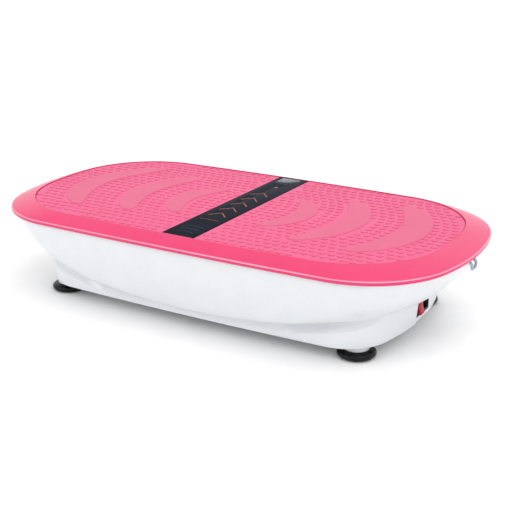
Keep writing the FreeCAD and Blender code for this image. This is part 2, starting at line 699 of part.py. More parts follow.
# ---- the mechanism ----

def pivot_posts():
    """Fixed posts inside the deck rails; each holds a bush for the tilt pin."""
    floor = "(chassis_z + chassis_thick)"
    for side, sign in SIDES.items():
        y = f"{sign} * rail_y"
        flange = block(60, "post_width", 4, 0, y, floor)
        stem = block("post_length", "post_width", f"tilt_z - {floor}", 0, y, floor)
        head = cylinder("post_length / 2", "post_width", "y", 0, y, "tilt_z")
        bore = cylinder("bush_radius", "post_width * 2", "y", 0, y, "tilt_z")
        keep(cut(fused(flange, stem, head), bore), f"pivot_post_{side}")
    bore = "pin_radius + running_gap"
    keep(group([ring("bush_radius", bore, "post_width", "y", 0, f"{sign} * rail_y", "tilt_z")
                for sign in SIDES.values()]), "pivot_bushes")


def crank():
    """Crank shaft with two eccentrics, its pulley, bearings and bearing blocks."""
    shaft = cylinder("crank_radius", "rail_y * 2 - 20", "y", "crank_x", 0, "crank_z")
    throw_x = "crank_x + crank_throw"
    throws = [cylinder("eccentric_radius", "rod_thick + 8", "y", throw_x, f"{sign} * rail_y", "crank_z")
              for sign in SIDES.values()]
    keep(fused(shaft, *throws), "crank_shaft")
    keep(pulley("driven_pulley", "driven_radius", "crank_radius", "crank_x", "crank_z"), "driven_pulley")
    floor = "(chassis_z + chassis_thick)"
    rings = []
    for side, sign in SIDES.items():
        y = f"{sign} * block_y"
        housing = block("block_length", "block_thick", f"block_top_z - {floor}", "crank_x", y, floor)
        bore = cylinder("bearing_radius", "block_thick * 2", "y", "crank_x", y, "crank_z")
        keep(cut(housing, bore), f"crank_block_{side}")
        inner = "crank_radius + running_gap"
        rings.append(ring("bearing_radius", inner, "bearing_width", "y", "crank_x", y, "crank_z"))
    keep(group(rings), "crank_bearings")


def pulley(label, rim, bore, x, z):
    """Flanged belt pulley turned about Y at the belt plane."""
    half, flange = "(pulley_width / 2)", "(pulley_width / 2 + flange_thick)"
    rim_top = f"{rim} + flange_height"
    profile = ((bore, f"-{flange}"), (rim_top, f"-{flange}"), (rim_top, f"-{half}"), (rim, f"-{half}"),
               (rim, half), (rim_top, half), (rim_top, flange), (bore, flange))
    return turned(label, profile, "y", x, "belt_y", z)


def rods():
    """Short connecting rods from the eccentrics up into the deck rails."""
    x = "(crank_x + crank_throw)"
    for side, sign in SIDES.items():
        y = f"{sign} * rail_y"
        big = cylinder("rod_big_radius", "rod_thick", "y", x, y, "crank_z")
        small = cylinder("rod_small_radius", "rod_thick", "y", x, y, "tilt_z")
        stem = block(14, "rod_thick", "tilt_z - crank_z", x, y, "crank_z")
        big_bore = cylinder("rod_bearing_radius", "rod_thick * 2", "y", x, y, "crank_z")
        small_bore = cylinder("bush_radius + running_gap", "rod_thick * 2", "y", x, y, "tilt_z")
        keep(cut(fused(big, small, stem), big_bore, small_bore), f"rod_{side}")
        bearing = ring("rod_bearing_radius", "eccentric_radius + running_gap", "rod_thick", "y", x, y,
                       "crank_z")
        keep(bearing, f"rod_bearing_{side}")
        bush = ring("bush_radius", "pin_radius + running_gap", "rod_thick", "y", x, y, "tilt_z")
        keep(bush, f"rod_bush_{side}")


def belt_loop(body, lift, inset):
    """Belt outline round both pulleys: two arcs and two straight runs, all tangent."""
    sketch = new_sketch(body, "XZ_Plane", lift)
    extra = size["belt_gap"] + size["belt_thick"] - inset
    ends = ((size["motor_x"], size["motor_z"], size["drive_radius"] + extra),
            (size["crank_x"], size["crank_z"], size["driven_radius"] + extra))
    (x1, z1, r1), (x2, z2, r2) = ends
    lean = math.atan2(z2 - z1, x2 - x1)
    spread = math.asin((r2 - r1) / math.hypot(x2 - x1, z2 - z1))
    up, down = lean + math.pi / 2 + spread, lean - math.pi / 2 - spread
    for x, z, radius, start, end in ((x2, z2, r2, down, up), (x1, z1, r1, up, down + 2 * math.pi)):
        ground = Part.Circle(Vector(x, z, 0), Vector(0, 0, 1), radius)
        sketch.addGeometry(Part.ArcOfCircle(ground, start, end), False)
    for turn, (fx, fz, fr), (tx, tz, tr) in ((up, ends[1], ends[0]), (down, ends[0], ends[1])):
        way = Vector(math.cos(turn), math.sin(turn), 0)
        start, end = Vector(fx, fz, 0) + way * fr, Vector(tx, tz, 0) + way * tr
        sketch.addGeometry(Part.LineSegment(start, end), False)
    for first, second in ((0, 2), (2, 1), (1, 3), (3, 0)):
        sketch.addConstraint(Sketcher.Constraint("Tangent", first, 2, second, 1))
    grown = f"belt_gap + belt_thick - {inset}"
    for item, name, centre, x, z in ((0, "driven_radius", ends[1], "crank_x", "crank_z"),
                                     (1, "drive_radius", ends[0], "motor_x", "motor_z")):
        measure(sketch, Sketcher.Constraint("Radius", item, centre[2]), f"{name} + {grown}")
        pin_point(sketch, item, 3, x, z, Vector(centre[0], centre[1], 0))
    return sketch


def drive_belt():
    body = new_body("drive_belt_form")
    pad(body, belt_loop(body, "-belt_y", 0), "belt_width", centred=True)
    cavity = new_body("belt_inside")
    pad(cavity, belt_loop(cavity, "-belt_y", size["belt_thick"]), "belt_width * 2", centred=True)
    keep(cut(body, cavity), "drive_belt")


def motor():
    """Motor with can, end bells, armature, shaft, cooling fan and pulley, all along Y."""
    x, z = "motor_x", "motor_z"
    can = ring("motor_radius", "motor_radius - motor_wall", "motor_length", "y", x, "motor_y", z)
    keep(can, "motor_can")
    bore = "motor_shaft_radius + running_gap"
    bell = ((bore, "0"), ("motor_radius", "0"), ("motor_radius", "bell_rim"),
            ("motor_radius - bell_depth", "bell_depth"), ("bell_nose_radius", "bell_depth"),
            ("bell_nose_radius", "bell_nose"), (bore, "bell_nose"))
    keep(turned("bell", bell, "y", x, "motor_y + motor_length / 2", z), "motor_bell_front")
    rear = turned("bell", bell, "y", x, "motor_y - motor_length / 2", z)
    rear.Placement = Placement(Vector(), Rotation(Vector(1, 0, 0), 90))
    keep(rear, "motor_bell_rear")
    keep(cylinder("motor_shaft_radius", "motor_shaft_length", "y", x, "motor_y + 1", z), "motor_shaft")
    core = ring("armature_radius", "motor_shaft_radius", "armature_length", "y", x, "motor_y", z)
    keep(core, "motor_armature")
    keep(pulley("motor_pulley", "drive_radius", "motor_shaft_radius", x, z), "motor_pulley")
    fan_y = "motor_y - motor_length / 2 - fan_gap"
    hub = ring("fan_hub_radius", "motor_shaft_radius", "fan_hub_length", "y", x, fan_y, z)
    blades = []
    for i in range(FAN_BLADES):
        blade = block("blade_length", "blade_width", "blade_thick",
                      "fan_hub_radius - 2 + blade_length / 2", 0, "-blade_thick / 2")
        turn = Rotation(Vector(0, 1, 0), 360 / FAN_BLADES * i)
        blades.append(place(group([blade]), x, fan_y, z, turn))
    keep(fused(hub, *blades), "motor_fan")
    floor = "(chassis_z + chassis_thick)"
    saddle = block("motor_radius * 1.5", "motor_length - 20", f"motor_z - motor_radius * 0.62 - {floor}",
                   x, "motor_y", floor)
    keep(cut(saddle, cylinder("motor_radius", "motor_length * 2", "y", x, "motor_y", z)), "motor_cradle")


# ---- electrics ----

def electronics():
    top = "board_z + board_thick"
    board = block("board_length", "board_width", "board_thick", "board_x", "board_y", "board_z")
    mains = block(10, 22, 9, "board_x + board_length / 2 - 13", "board_y + 13", top)
    motor_plug = block(8, 14, 9, "board_x - board_length / 2 + 10", "board_y - 16", top)
    header = block(12, 5, 10, -19, "board_y + 26.5", top)
    keep(fused(board, mains, motor_plug, header), "control_board")
    fins = [block(2, 26, 22, f"board_x + {24 + 5 * i}", "board_y - 12", f"{top} + 3") for i in range(6)]
    keep(fused(block(28, 26, 3, "board_x + 36.5", "board_y - 12", top), *fins), "board_heat_sink")
    cans = [cylinder("capacitor_radius", "capacitor_height", "z", f"board_x - {35 - 19 * i}",
                     "board_y - 12", f"{top} + capacitor_height / 2") for i in range(3)]
    keep(group(cans), "board_capacitors")


def board_fuse():
    """Glass fuse in two clips near the mains terminals."""
    x, y, z = "board_x + 14", "board_y + 17", "board_z + board_thick"
    clips = [block(2, 6, 5, f"{x} + {shift}", y, z) for shift in (-8, 8)]
    keep(fused(cylinder("fuse_radius", "fuse_length", "x", x, y, f"{z} + 4"), *clips), "board_fuse")


def power_inlet():
    """Inlet module in the end recess: rocker cavity beside the plug cavity, pins and rocker."""
    mouth = "recess_x + socket_flange"
    flange = block("socket_flange", "socket_length", "socket_height", "recess_x + socket_flange / 2",
                   "socket_y", "socket_z - socket_height / 2")
    body = block("socket_depth", "socket_length - socket_rim * 2", "socket_height - socket_rim * 2",
                 "recess_x - socket_depth / 2", "socket_y", "socket_z - socket_height / 2 + socket_rim")
    plug = block(34, "plug_width", "plug_height", f"{mouth} - 1", "socket_y + plug_y",
                 "socket_z - plug_height / 2")
    switch = block(26, "rocker_width + 0.6", "rocker_length + 1.2", mouth, "socket_y + rocker_y",
                   "socket_z - rocker_length / 2 - 0.6")
    pins = [block(30, 2, 4, f"{mouth} - 20.4", f"socket_y + plug_y + {y}", f"socket_z + {z} - 2")
            for y, z in PIN_PLACES]
    keep(group(pins), "inlet_pins")
    pivot = ("recess_x - rocker_depth", "socket_y + rocker_y", "socket_z")
    axle_hole = cylinder("axle_radius + running_gap", "axle_length + 0.2", "y", *pivot)
    keep(cut(fused(flange, body), plug, switch, axle_hole, *pins), "inlet_housing")
    rocker = new_body("rocker")
    sketch = new_sketch(rocker, "XZ_Plane")
    half = "rocker_length / 2"
    polygon(sketch, (("-3.5", f"-{half} + 4"), ("4.5", f"-{half} + 0.6"), ("6.2", f"-{half} + 0.2"),
                     ("5.0", "0"), ("6.2", f"{half} - 0.2"), ("4.5", f"{half} - 0.6"),
                     ("-3.5", f"{half} - 4")))
    pad(rocker, sketch, "rocker_width", centred=True)
    place(rocker, *pivot, Rotation(Vector(0, 1, 0), -size["rocker_tilt"]))
    keep(fused(rocker, cylinder("axle_radius", "axle_length", "y", *pivot)), "rocker_switch")


def band_loops():
    """Steel wire loops for resistance bands, hanging from the tub's ends under the rim."""
    half, drop = size["loop_half"], size["loop_drop_z"]
    for end, sign in ENDS.items():
        x, leg_x, leg_z = sign * size["loop_x"], sign * (size["loop_x"] - 14), size["loop_z"]
        route = [Vector(leg_x, -half, leg_z), Vector(x, -half, leg_z), Vector(x, -half, drop),
                 Vector(x, half, drop), Vector(x, half, leg_z), Vector(leg_x, half, leg_z)]
        made = doc.addObject("Part::Feature", "Loop")
        made.Shape = tube_along(route, 2 * size["loop_radius"])
        keep(made, f"band_loop_{end}")


def cable(points, diameter):
    made = doc.addObject("Part::Feature", "Cable")
    made.Shape = tube_along([Vector(*point) for point in points], diameter)
    return made


def mains_leads():
    """Three leads from the inlet's pins to the board's mains terminals."""
    board_top = size["board_z"] + size["board_thick"]
    board_east = size["board_x"] + size["board_length"] / 2
    back = size["recess_x"] - size["socket_depth"] - 3
    leads = []
    for i, (shift, lift) in enumerate(PIN_PLACES):
        lane = 6.0 * (i - 1)
        pin = Vector(back, size["socket_y"] + size["plug_y"] + shift, size["socket_z"] + lift)
        route = (pin, pin - Vector(14, 0, 0), (back - 30, lane, 27.0), (board_east + 14, lane - 28, 27.0),
                 (board_east + 4, lane - 40, board_top + 3.0), (board_east - 8, lane - 40, board_top + 3.0))
        leads.append(cable(route, size["wire_size"]))
    return leads


def motor_leads():
    """Two leads from the board to the motor's rear bell."""
    board_west = size["board_x"] - size["board_length"] / 2
    plug_z = size["board_z"] + size["board_thick"] + 3.0
    bell_y = size["motor_y"] - size["motor_length"] / 2 - 8
    bell_z = size["motor_z"] - 12
    leads = []
    for x, plug_y in ((-106.0, -66.0), (-112.0, -72.0)):
        route = ((board_west + 6, plug_y, plug_z), (board_west - 8, plug_y, plug_z),
                 (x + 18, bell_y - 4, plug_z + 3), (x, bell_y - 4, bell_z), (x, bell_y, bell_z))
        leads.append(cable(route, size["wire_size"]))
    return leads


def cables():
    """Leads on the chassis, and the display's lead down from the deck."""
    keep(group(mains_leads() + motor_leads()), "internal_wires")
    route = ((-19, 122, 122.3), (-19, 122, 30), (-19, 6, 30), (-19, -12, 37), (-19, -24, 37))
    keep(cable(route, 4.0), "display_cable")


for build in (deck_cover, deck_surface, display_parts, deck_structure, tub_shell, base_cover, feet, chassis,
              pivot_posts, crank, rods, drive_belt, motor, electronics, board_fuse, power_inlet,
              band_loops, cables):
    build()
doc.recompute()

for item in doc.Objects:
    if {"Invalid", "Error"} & set(item.State):
        raise RuntimeError(f"{item.Label} ({item.TypeId}) did not compute: {item.State}")
os.makedirs("parts", exist_ok=True)
for item in parts:
    if item.Shape.isNull() or not item.Shape.isValid() or not item.Shape.Solids:
        raise RuntimeError(f"{item.Label} has no valid solid")
    item.Shape.exportStep(f"parts/{item.Label}.step")
    print(item.Label, len(item.Shape.Solids), round(item.Shape.Volume))
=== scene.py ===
import json
import math

import bmesh
import bpy
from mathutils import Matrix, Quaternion, Vector

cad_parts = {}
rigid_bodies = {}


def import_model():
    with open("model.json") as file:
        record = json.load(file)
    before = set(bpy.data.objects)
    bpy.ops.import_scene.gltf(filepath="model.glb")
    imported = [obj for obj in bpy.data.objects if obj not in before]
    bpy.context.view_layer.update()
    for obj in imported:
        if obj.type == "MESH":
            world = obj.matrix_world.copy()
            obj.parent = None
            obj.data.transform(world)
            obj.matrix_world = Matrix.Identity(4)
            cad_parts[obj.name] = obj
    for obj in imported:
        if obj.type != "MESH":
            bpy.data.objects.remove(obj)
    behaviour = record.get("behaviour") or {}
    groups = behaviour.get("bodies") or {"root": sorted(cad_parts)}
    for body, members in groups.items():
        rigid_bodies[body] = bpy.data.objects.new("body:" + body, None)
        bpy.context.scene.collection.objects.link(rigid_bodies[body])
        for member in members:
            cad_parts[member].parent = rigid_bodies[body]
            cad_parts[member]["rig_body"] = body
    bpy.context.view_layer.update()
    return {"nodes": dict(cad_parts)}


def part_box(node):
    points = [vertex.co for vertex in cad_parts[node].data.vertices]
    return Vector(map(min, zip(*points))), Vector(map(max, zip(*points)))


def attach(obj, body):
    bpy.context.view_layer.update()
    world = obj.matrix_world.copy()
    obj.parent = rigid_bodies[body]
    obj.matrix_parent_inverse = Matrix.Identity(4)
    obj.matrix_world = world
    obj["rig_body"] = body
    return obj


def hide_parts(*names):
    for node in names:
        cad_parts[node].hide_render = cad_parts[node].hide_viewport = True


# Looks of a slim see-saw vibration plate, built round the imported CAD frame.
# Lengths are millimetres, and MM turns them into Blender's metres.
# +X runs along the plate, -Y is the front side, +Z is up.

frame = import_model()
MM = 0.001


def node_box(node):
    """Lowest and highest corner of a CAD node, in millimetres."""
    low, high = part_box(node)
    return low / MM, high / MM


def middle(node):
    low, high = node_box(node)
    return (low + high) / 2


def raised(point, z):
    """A flat point lifted to height z."""
    return Vector((point.x, point.y, z))


# ---- outlines ----

SPINE = 150.0          # half the stretch whose columns run straight across the plate
SIDE_STEPS = 60        # columns along each long side
END_STEPS = 128        # columns round each end


def make_columns():
    """Rays from the plate's spine outwards, once round; every skin has a column of points on each."""
    rays = []
    for sign in (1, -1):
        for i in range(END_STEPS):
            turn = -math.pi / 2 + math.pi * i / END_STEPS
            rays.append((Vector((sign * SPINE, 0)), Vector((math.cos(turn), math.sin(turn))) * sign))
        for i in range(SIDE_STEPS):
            rays.append((Vector((sign * SPINE * (1 - 2 * i / SIDE_STEPS), 0)), Vector((0, sign))))
    return rays


COLUMNS = make_columns()


class Oval:
    """A closed outline of tangent arcs: two ends, two long sides and four corners."""

    def __init__(self, length, width, end, side, corner):
        end_centre = Vector((length / 2 - end, 0))
        side_centre = Vector((0, width / 2 - side))
        between = side_centre - end_centre
        unit = between.normalized()
        near, far = end - corner, side - corner
        along = (near ** 2 - far ** 2 + between.length_squared) / (2 * between.length)
        aside = math.sqrt(near ** 2 - along ** 2)
        corner_centre = end_centre + unit * along + Vector((-unit.y, unit.x)) * aside
        low = math.atan2(corner_centre.y, corner_centre.x - end_centre.x)
        high = math.atan2(corner_centre.y - side_centre.y, corner_centre.x)
        self.arcs = ((end_centre, end, 0, low), (corner_centre, corner, low, high),
                     (side_centre, side, high, math.pi / 2))

    def reach(self, start, way, inset=0.0):
        """Where a ray from inside meets the outline moved in by inset, worked out in one quarter."""
        flip = Vector((-1 if way.x < 0 or (way.x == 0 and start.x < 0) else 1, -1 if way.y < 0 else 1))
        start, way = start * flip, way * flip
        best = None
        for centre, radius, low, high in self.arcs:
            to_start = start - centre
            half = to_start.dot(way)
            root = half ** 2 - to_start.length_squared + (radius - inset) ** 2
            point = start + way * (math.sqrt(max(root, 0)) - half)
            turn = math.atan2(point.y - centre.y, point.x - centre.x)
            miss = max(low - turn, turn - high, 0)
            if best is None or miss < best[0]:
                best = (miss, point)
        return best[1] * flip

    def ring(self, z, inset=0.0):
        return [raised(self.reach(start, way, inset), z) for start, way in COLUMNS]


cover_low, cover_high = node_box("deck_cover")
mats_low, mats_high = node_box("mat_left")
tub_low, tub_high = node_box("tub_shell")
RIM = Oval(2 * cover_high.x, 2 * cover_high.y, 325, 8550, 121)
MAT = Oval(-2 * mats_low.x, 2 * mats_high.y, 391, 4635, 118.5)
DECK_TOP = cover_high.z
SKIRT_Z = cover_low.z
MAT_FLOOR = mats_low.z
MAT_TOP = DECK_TOP - 1.0
PRINT_Z = DECK_TOP - 0.1
GROOVE = 0.55


# ---- meshes ----

SHARP_ANGLE = 40       # edges that turn by more degrees than this stay sharp
SOFT_ANGLE = 35        # the same for the bevelled copies of CAD nodes
CUT_REACH = 8.0        # how far above and below its opening a cutter goes


def add_ladder(form, row):
    """Closes a long, narrow loop whose first point is one tip with strips from side to side."""
    last = len(row) // 2
    made = [form.faces.new((row[0], row[1], row[-1])),
            form.faces.new((row[last - 1], row[last], row[last + 1]))]
    for k in range(1, last - 1):
        made.append(form.faces.new((row[k], row[k + 1], row[-k - 1], row[-k])))
    return made


def add_rings(form, rings, looped=False, finish=0, ladder=False):
    """Adds one closed surface: each ring of points joins the next, and the ends are capped or joined."""
    rows = [[form.verts.new(Vector(point) * MM) for point in ring] for ring in rings]
    made = []
    for low, high in zip(rows, rows[1:] + rows[:1] if looped else rows[1:]):
        for i, point in enumerate(low):
            following = (i + 1) % len(low)
            made.append(form.faces.new((point, low[following], high[following], high[i])))
    if ladder:
        made += add_ladder(form, rows[0]) + add_ladder(form, rows[-1])
    elif not looped:
        made.append(form.faces.new(rows[0][::-1]))
        made.append(form.faces.new(rows[-1]))
    for face in made:
        face.material_index = finish
    return made


def make_piece(form, name, body, finishes, stands_for=()):
    """Turns a bmesh into a piece that rides on a body."""
    bmesh.ops.recalc_face_normals(form, faces=form.faces)
    mesh = bpy.data.meshes.new(name)
    form.to_mesh(mesh)
    form.free()
    mesh.shade_smooth()
    mesh.set_sharp_from_angle(angle=math.radians(SHARP_ANGLE))
    piece = bpy.data.objects.new(name, mesh)
    bpy.context.scene.collection.objects.link(piece)
    for finish in finishes:
        mesh.materials.append(finish)
    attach(piece, body)
    if stands_for:
        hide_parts(*stands_for)
    return piece


def apply_modifiers(piece, sharp=SHARP_ANGLE):
    """Bakes a piece's modifiers into its mesh."""
    graph = bpy.context.evaluated_depsgraph_get()
    mesh = bpy.data.meshes.new_from_object(piece.evaluated_get(graph))
    piece.modifiers.clear()
    piece.data = mesh
    mesh.shade_smooth()
    mesh.set_sharp_from_angle(angle=math.radians(sharp))


def bevel(piece, width, angle=SHARP_ANGLE):
    """Rounds a piece's edges over width, in two steps."""
    rounding = piece.modifiers.new("rounding", "BEVEL")
    rounding.width = width * MM
    rounding.segments = 2
    rounding.limit_method = "ANGLE"
    rounding.angle_limit = math.radians(angle)
    rounding.harden_normals = False
    apply_modifiers(piece, angle)


def carve(piece, cutters):
    """Cuts closed bmesh forms out of a piece."""
    for form in cutters:
        bmesh.ops.recalc_face_normals(form, faces=form.faces)
        mesh = bpy.data.meshes.new("cutter")
        form.to_mesh(mesh)
        form.free()
        cutter = bpy.data.objects.new("cutter", mesh)
        bpy.context.scene.collection.objects.link(cutter)
        cut = piece.modifiers.new("cut", "BOOLEAN")
        cut.operation = "DIFFERENCE"
        cut.solver = "EXACT"
        cut.object = cutter
        apply_modifiers(piece)
        bpy.data.objects.remove(cutter)


def block(low, high):
    """A closed box between two corners."""
    form = bmesh.new()
    corners = ((low[0], low[1]), (high[0], low[1]), (high[0], high[1]), (low[0], high[1]))
    add_rings(form, [[(x, y, z) for x, y in corners] for z in (low[2], high[2])])
    return form


def circle(centre, radius, height, steps):
    """One level ring of a turned form, height above the centre."""
    turns = [math.tau * i / steps for i in range(steps)]
    return [centre + Vector((radius * math.cos(turn), radius * math.sin(turn), height)) for turn in turns]


def turned(form, centre, profile, steps=64):
    """Adds an upright solid of revolution whose profile is pairs of radius and height."""
    add_rings(form, [circle(centre, radius, height, steps) for radius, height in profile])


def hole_cutter(centre, radius):
    """An upright rod through a round opening."""
    form = bmesh.new()
    turned(form, centre, ((radius, -CUT_REACH), (radius, CUT_REACH)))
    return form


def softened(node, name, finishes, width):
    """A copy of a CAD node with bevelled edges, which stands for it."""
    form = bmesh.new()
    form.from_mesh(frame["nodes"][node].data)
    bmesh.ops.remove_doubles(form, verts=form.verts, dist=0.002 * MM)
    bmesh.ops.dissolve_limit(form, angle_limit=math.radians(0.5), verts=form.verts, edges=form.edges)
    for face in form.faces:
        face.material_index = 0
    body = frame["nodes"][node]["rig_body"]
    piece = make_piece(form, name, body, finishes, (node,))
    bevel(piece, width, SOFT_ANGLE)


# ---- finishes ----

def linear(red, green, blue):
    """A colour from 0 to 255 per channel as the shader wants it."""
    def channel(value):
        share = value / 255
        return share / 12.92 if value < 11 else ((share + 0.055) / 1.055) ** 2.4

    return tuple(channel(value) for value in (red, green, blue))


def noise(tree, scale, stretch=(1, 1, 1)):
    """A noise pattern in the object's own space; scale is in bumps per metre."""
    place = tree.nodes.new("ShaderNodeTexCoord")
    spread = tree.nodes.new("ShaderNodeMapping")
    spread.inputs["Scale"].default_value = stretch
    pattern = tree.nodes.new("ShaderNodeTexNoise")
    pattern.inputs["Scale"].default_value = scale
    pattern.inputs["Detail"].default_value = 3.0
    tree.links.new(place.outputs["Object"], spread.inputs["Vector"])
    tree.links.new(spread.outputs["Vector"], pattern.inputs["Vector"])
    return pattern.outputs["Fac"]


def mapped(tree, source, low, high):
    """A pattern's middle range stretched to low and high."""
    spread = tree.nodes.new("ShaderNodeMapRange")
    spread.inputs["From Min"].default_value = 0.3
    spread.inputs["From Max"].default_value = 0.7
    spread.inputs["To Min"].default_value = low
    spread.inputs["To Max"].default_value = high
    tree.links.new(source, spread.inputs["Value"])
    return spread.outputs["Result"]


def mixed(tree, factor, first, second):
    mix = tree.nodes.new("ShaderNodeMix")
    mix.data_type = "RGBA"
    mix.inputs[6].default_value = (*first, 1)
    mix.inputs[7].default_value = (*second, 1)
    tree.links.new(factor, mix.inputs[0])
    return mix.outputs[2]


PATCHES = 30           # patches of drifting colour per metre


def surface(name, colour, shade, roughness, grain, depth, stretch=(1, 1, 1), metal=0.0, coat=0.0, shine=0.5):
    """A moulded, painted or machined surface.

    colour drifts to shade over patches, roughness is its low and high value, grain is its fine bumps
    per metre, depth is their height in millimetres, and shine is how strongly it mirrors.
    """
    made = bpy.data.materials.new(f"{name}_finish")
    made.use_nodes = True
    tree = made.node_tree
    shader = tree.nodes["Principled BSDF"]
    shader.inputs["Metallic"].default_value = metal
    shader.inputs["Coat Weight"].default_value = coat
    shader.inputs["Coat Roughness"].default_value = 0.12
    shader.inputs["Specular IOR Level"].default_value = shine
    drift = noise(tree, PATCHES)
    fine = noise(tree, grain, stretch)
    tone = mixed(tree, mapped(tree, drift, 0, 1), linear(*colour), linear(*shade))
    tree.links.new(tone, shader.inputs["Base Color"])
    tree.links.new(mapped(tree, fine, *roughness), shader.inputs["Roughness"])
    bump = tree.nodes.new("ShaderNodeBump")
    bump.inputs["Strength"].default_value = 0.6
    bump.inputs["Distance"].default_value = depth * MM
    tree.links.new(fine, bump.inputs["Height"])
    tree.links.new(bump.outputs["Normal"], shader.inputs["Normal"])
    return made


def glass(name, roughness):
    made = surface(name, (236, 242, 246), (230, 238, 244), roughness, 400, 0.002)
    shader = made.node_tree.nodes["Principled BSDF"]
    shader.inputs["Transmission Weight"].default_value = 1.0
    shader.inputs["IOR"].default_value = 1.2
    return made


BRUSHED = (1, 12, 1)   # stretches the fine noise into brush lines
FINISHES = {
    "white_shell": surface("white_shell", (227, 229, 232), (223, 226, 229), (0.24, 0.32), 1400, 0.012,
                           coat=0.2),
    "pink_cover": surface("pink_cover", (223, 51, 107), (219, 46, 102), (0.26, 0.34), 1300, 0.01, coat=0.15),
    "pink_mat": surface("pink_mat", (225, 93, 137), (221, 88, 131), (0.5, 0.62), 1500, 0.03),
    "strip_slate": surface("strip_slate", (25, 30, 42), (21, 26, 38), (0.42, 0.55), 1200, 0.01, shine=0.03),
    "screen_glass": glass("screen_glass", (0.02, 0.06)),
    "screen_grey": surface("screen_grey", (64, 86, 114), (59, 80, 107), (0.3, 0.4), 900, 0.002, shine=0.05),
    "lens_red": surface("lens_red", (120, 18, 34), (104, 12, 28), (0.1, 0.18), 900, 0.004, coat=0.4),
    "foot_rubber": surface("foot_rubber", (4, 4, 6), (7, 7, 10), (0.22, 0.32), 900, 0.012, shine=0.24),
    "collar_white": surface("collar_white", (214, 217, 220), (207, 211, 215), (0.32, 0.42), 1200, 0.015),
    "black_plastic": surface("black_plastic", (14, 14, 16), (20, 20, 23), (0.35, 0.5), 1400, 0.02,
                             shine=0.2),
    "rocker_red": surface("rocker_red", (178, 6, 40), (162, 4, 32), (0.22, 0.32), 900, 0.006, shine=0.2),
    "loop_steel": surface("loop_steel", (168, 180, 190), (150, 163, 174), (0.2, 0.34), 700, 0.01,
                          BRUSHED, 0.9),
    "plated_steel": surface("plated_steel", (180, 182, 184), (160, 163, 168), (0.24, 0.4), 800, 0.01,
                            BRUSHED, 1.0),
    "black_steel": surface("black_steel", (34, 35, 37), (44, 45, 48), (0.4, 0.56), 1000, 0.03, metal=0.3),
    "alloy": surface("alloy", (176, 178, 180), (150, 153, 156), (0.34, 0.5), 500, 0.05, metal=1.0),
    "bronze": surface("bronze", (176, 128, 74), (150, 104, 58), (0.3, 0.45), 700, 0.02, metal=1.0),
    "bush_rubber": surface("bush_rubber", (30, 30, 31), (40, 40, 41), (0.55, 0.7), 900, 0.05),
    "belt_rubber": surface("belt_rubber", (26, 26, 27), (36, 36, 37), (0.5, 0.66), 600, 0.06, (1, 6, 1)),
    "motor_steel": surface("motor_steel", (70, 74, 80), (56, 60, 66), (0.34, 0.48), 900, 0.02, metal=0.6),
    "windings": surface("windings", (170, 92, 52), (140, 70, 36), (0.3, 0.5), 700, 0.12, (1, 8, 1), 0.8),
    "board_green": surface("board_green", (26, 92, 56), (20, 74, 46), (0.3, 0.46), 500, 0.02),
    "capacitor_sleeve": surface("capacitor_sleeve", (30, 34, 66), (40, 44, 80), (0.25, 0.38), 600, 0.01),
    "wire_jacket": surface("wire_jacket", (40, 40, 42), (54, 54, 56), (0.4, 0.55), 500, 0.03),
}
SWOOSH_FINISH = surface("mat_plateau", (216, 88, 127), (212, 83, 122), (0.42, 0.55), 1500, 0.02)
# painted shade: a deeper pink for the ridges' outer slopes
RIDGE_PAINTED_SHADE = surface("ridge_painted_shade", (206, 70, 111), (201, 65, 105), (0.5, 0.62), 1500, 0.02, shine=0.2)
PRINT_FINISH = surface("strip_print", (170, 92, 74), (156, 82, 66), (0.4, 0.5), 900, 0.004, shine=0.2)
FAINT_FINISH = surface("strip_faint", (58, 66, 84), (52, 60, 78), (0.4, 0.5), 900, 0.004, shine=0.05)
# painted highlight: a paler, glossier pink on the lip's rounded top edge
LIP_PAINTED_HIGHLIGHT = surface("lip_painted_highlight", (232, 140, 168), (228, 134, 163), (0.12, 0.18), 900, 0.004, coat=0.6)
BEZEL_FINISH = surface("screen_bezel", (22, 24, 32), (28, 30, 39), (0.2, 0.3), 900, 0.004)


# ---- the deck ----

SKIRT = (
    # inset from the rim's outline, height above the skirt's lower edge
    (2.6, 1.0), (2.2, 0.15), (1.4, 0.0), (0.5, 0.05), (0.08, 0.5), (0.0, 1.1), (0.0, 2.2), (0.1, 2.9),
    (0.4, 3.7), (0.9, 4.4), (1.6, 5.0), (2.5, 5.6),
)
MAT_EDGE = (
    # inset from the mats' outline, height above the deck's top
    (-1.7, -0.12), (-1.2, 0.0), (-GROOVE - 0.3, 0.0), (-GROOVE, -0.25),
)
HIGHLIGHT_START = 8         # the skirt's ring where the painted highlight on the lip's rounded top edge begins
HIGHLIGHT_RINGS = 2
SHOULDER_STEPS = 12
SHOULDER_CROWN = 0.22
ROOF_THICK = 2.6


